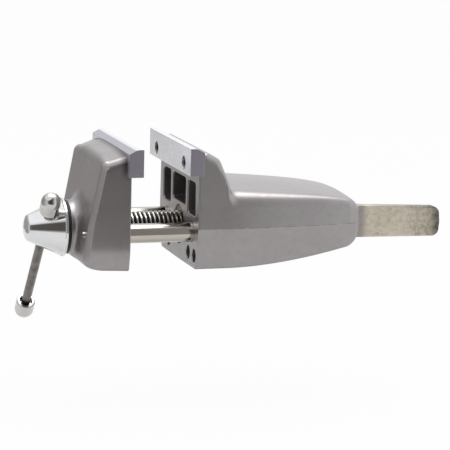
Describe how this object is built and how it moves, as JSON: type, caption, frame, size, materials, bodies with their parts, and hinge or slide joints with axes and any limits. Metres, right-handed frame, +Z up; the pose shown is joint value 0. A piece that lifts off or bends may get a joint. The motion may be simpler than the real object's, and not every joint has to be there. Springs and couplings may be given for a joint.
{
  "type": "bench vise head",
  "caption": "Small bench vise head with jaw plates on two guide rods, a lead screw with a sliding tommy bar, and a flat steel tang at the rear for mounting.",
  "frame": {"origin": "middle of the tang's cross-section where the tang leaves the rear casting", "axes": "+X along the lead screw, guide rods and tang, from the handle towards the tang; +Y across the jaws; +Z up, from the rods towards the jaw plates"},
  "size_m": [0.2915, 0.1199, 0.1318],
  "materials": {
    "cast_aluminium": "satin, fine cast grain",
    "jaw_steel": "ground on the faces, satin elsewhere",
    "rod_steel": "polished",
    "screw_steel": "machined, dark thread roots",
    "tang_steel": "pale zinc plate, mottled",
    "bar_steel": "darker satin",
    "chrome": "mirror polish",
    "bronze": "machined bearing bronze",
    "black_fibre": "matt black",
    "fastener_black": "black oxide",
    "zinc_steel": "bright zinc plate"
  },
  "bodies": {
    "fixed_body": {"rear_casting": "cast_aluminium", "rear_jaw_plate": "jaw_steel", "rear_jaw_plate_screws": "fastener_black", "lead_nut": "bronze", "nut_lock_screw": "fastener_black", "tang": "tang_steel", "tang_pins": "zinc_steel"},
    "moving_jaw": {"front_casting": "cast_aluminium", "front_jaw_plate": "jaw_steel", "front_jaw_plate_screws": "fastener_black", "left_guide_rod": "rod_steel", "right_guide_rod": "rod_steel", "rod_grub_screws": "zinc_steel", "screw_bush": "bronze", "thrust_washer": "black_fibre"},
    "screw": {"lead_screw": "screw_steel", "screw_hub": "chrome", "hub_set_screw": "fastener_black", "stop_washer": "zinc_steel", "stop_screw": "zinc_steel"},
    "tommy_bar": {"tommy_bar": "bar_steel", "upper_bar_cap": "chrome", "lower_bar_cap": "chrome"}
  },
  "joints": [
    {"name": "jaw_slide", "type": "slide", "parent": "fixed_body", "child": "moving_jaw", "axis": [1, 0, 0], "range_m": [-0.02495, 0.03095]},
    {"name": "screw_spin", "type": "hinge", "parent": "moving_jaw", "child": "screw", "pos_m": [-0.19, 0, 0.001], "axis": [1, 0, 0], "range_deg": [-2988, 3708]},
    {"name": "bar_slide", "type": "slide", "parent": "screw", "child": "tommy_bar", "axis": [0, -0.6782, 0.7349], "range_m": [0, 0.0654]}
  ],
  "couplings": [
    {"joint": "jaw_slide", "follows": "screw_spin", "m_per_rad": 0.00047746}
  ]
}
